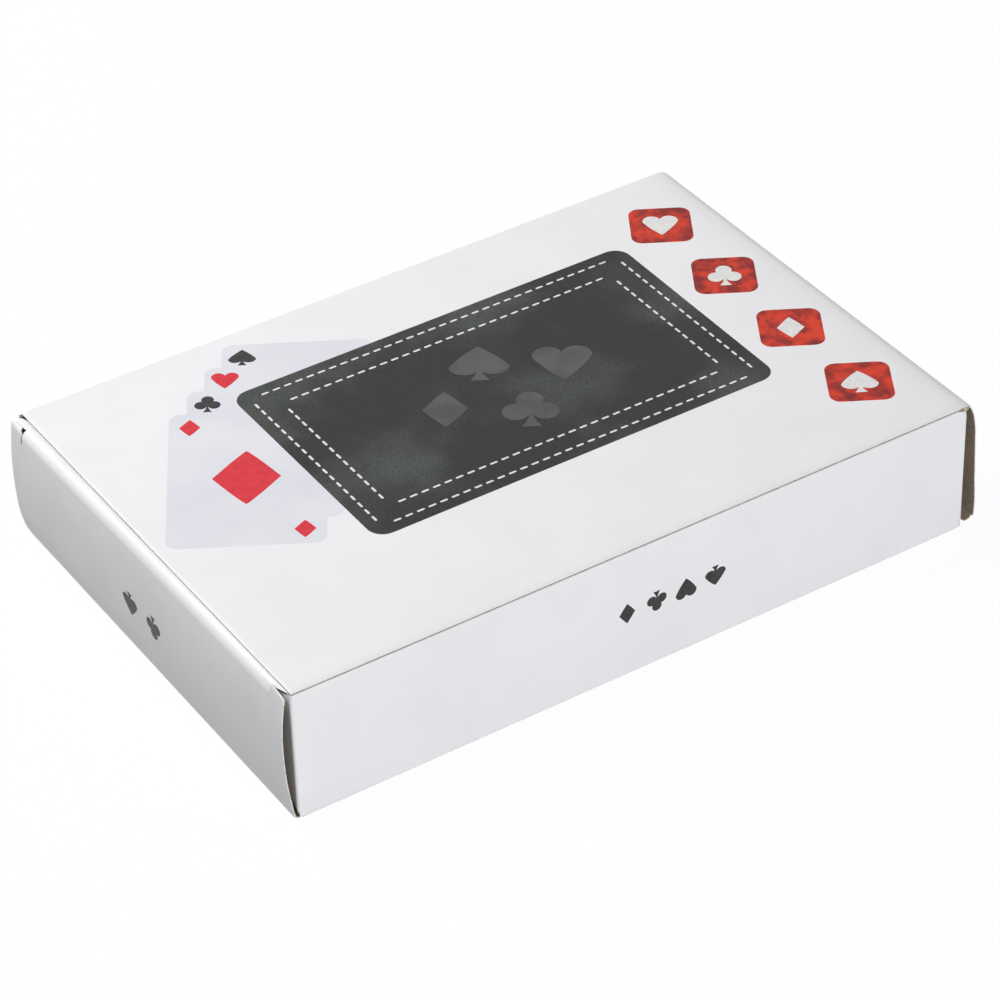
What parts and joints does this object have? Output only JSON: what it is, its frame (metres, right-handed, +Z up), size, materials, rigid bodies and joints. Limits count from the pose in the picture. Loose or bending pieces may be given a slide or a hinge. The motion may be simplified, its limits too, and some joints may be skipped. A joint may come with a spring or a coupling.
{
  "type": "boxed playing card set",
  "caption": "Closed white folding carton with tuck ends, holding a leatherette case of playing cards and dice.",
  "frame": {"origin": "centre of the carton's underside", "axes": "+X along the carton towards the end that opens upward, +Y from the front panel to the rear, +Z up"},
  "size_m": [0.1798, 0.117, 0.0335],
  "materials": {
    "carton_board": "white coated outside, grey-brown uncoated inside",
    "case_board": "bare grey-brown board",
    "leatherette": "fine grain, satin",
    "felt": "short felt",
    "thread": "waxed thread",
    "card_stock": "smooth coated",
    "die_plastic": "translucent, polished",
    "pip_paint": "filled paint"
  },
  "bodies": {
    "carton": {"carton_sleeve": "carton_board"},
    "left_closure": {"left_closure": "carton_board"},
    "left_tuck": {"left_tuck": "carton_board"},
    "left_front_dust": {"left_front_dust_flap": "carton_board"},
    "left_rear_dust": {"left_rear_dust_flap": "carton_board"},
    "right_closure": {"right_closure": "carton_board"},
    "right_tuck": {"right_tuck": "carton_board"},
    "right_front_dust": {"right_front_dust_flap": "carton_board"},
    "right_rear_dust": {"right_rear_dust_flap": "carton_board"},
    "case": {"case_base_board": "leatherette", "tray_front_wall": "case_board", "tray_rear_wall": "case_board", "tray_left_wall": "case_board", "tray_right_wall": "case_board", "tray_front_lip": "leatherette", "tray_rear_lip": "leatherette", "tray_left_lip": "leatherette", "tray_right_lip": "leatherette", "tray_leather": "leatherette", "tray_lining": "felt", "left_divider": "felt", "right_divider": "felt", "tray_stitching": "thread", "hinge_spine": "leatherette", "lid_board": "case_board", "lid_leather": "leatherette", "lid_lining": "felt", "lid_stitching": "thread", "deck_1_spades": "card_stock", "deck_1_hearts": "card_stock", "deck_1_clubs": "card_stock", "deck_1_diamonds": "card_stock", "deck_1_jokers": "card_stock", "deck_2_spades": "card_stock", "deck_2_hearts": "card_stock", "deck_2_clubs": "card_stock", "deck_2_diamonds": "card_stock", "deck_2_jokers": "card_stock", "die_1": "die_plastic", "die_2": "die_plastic", "die_3": "die_plastic", "die_4": "die_plastic", "die_5": "die_plastic", "die_1_pips": "pip_paint", "die_2_pips": "pip_paint", "die_3_pips": "pip_paint", "die_4_pips": "pip_paint", "die_5_pips": "pip_paint"}
  },
  "joints": [
    {"name": "left_closure_hinge", "type": "hinge", "parent": "carton", "child": "left_closure", "pos_m": [-0.08632, 0, 0.00025], "axis": [0, -1, 0], "range_deg": [0, 72]},
    {"name": "left_tuck_hinge", "type": "hinge", "parent": "left_closure", "child": "left_tuck", "pos_m": [-0.08867, 0, 0.03231], "axis": [0, 1, 0], "range_deg": [0, 14.5]},
    {"name": "left_front_dust_hinge", "type": "hinge", "parent": "carton", "child": "left_front_dust", "pos_m": [-0.08541, -0.05825, 0.0162], "axis": [0, 0, 1], "range_deg": [0, 72.1]},
    {"name": "left_rear_dust_hinge", "type": "hinge", "parent": "carton", "child": "left_rear_dust", "pos_m": [-0.08541, 0.05825, 0.0162], "axis": [0, 0, -1], "range_deg": [0, 72.1]},
    {"name": "case_slide", "type": "slide", "parent": "carton", "child": "case", "axis": [1, 0, 0], "range_m": [0, 0.035]},
    {"name": "right_closure_hinge", "type": "hinge", "parent": "carton", "child": "right_closure", "pos_m": [0.08632, 0, 0.03321], "axis": [0, -1, 0], "range_deg": [0, 160]},
    {"name": "right_tuck_hinge", "type": "hinge", "parent": "right_closure", "child": "right_tuck", "pos_m": [0.08934, 0, 0.00115], "axis": [0, 1, 0], "range_deg": [0, 16]},
    {"name": "right_front_dust_hinge", "type": "hinge", "parent": "carton", "child": "right_front_dust", "pos_m": [0.08541, -0.05825, 0.0172], "axis": [0, 0, -1], "range_deg": [0, 112]},
    {"name": "right_rear_dust_hinge", "type": "hinge", "parent": "carton", "child": "right_rear_dust", "pos_m": [0.08541, 0.05825, 0.0172], "axis": [0, 0, 1], "range_deg": [0, 112]}
  ],
  "couplings": [
    {"joint": "left_tuck_hinge", "follows": "left_closure_hinge", "ratio": 0.2},
    {"joint": "left_front_dust_hinge", "follows": "left_closure_hinge", "ratio": 1},
    {"joint": "left_rear_dust_hinge", "follows": "left_closure_hinge", "ratio": 1},
    {"joint": "right_closure_hinge", "follows": "case_slide", "rad_per_m": 79.78},
    {"joint": "right_tuck_hinge", "follows": "case_slide", "rad_per_m": 7.978},
    {"joint": "right_front_dust_hinge", "follows": "case_slide", "rad_per_m": 55.846},
    {"joint": "right_rear_dust_hinge", "follows": "case_slide", "rad_per_m": 55.846}
  ]
}
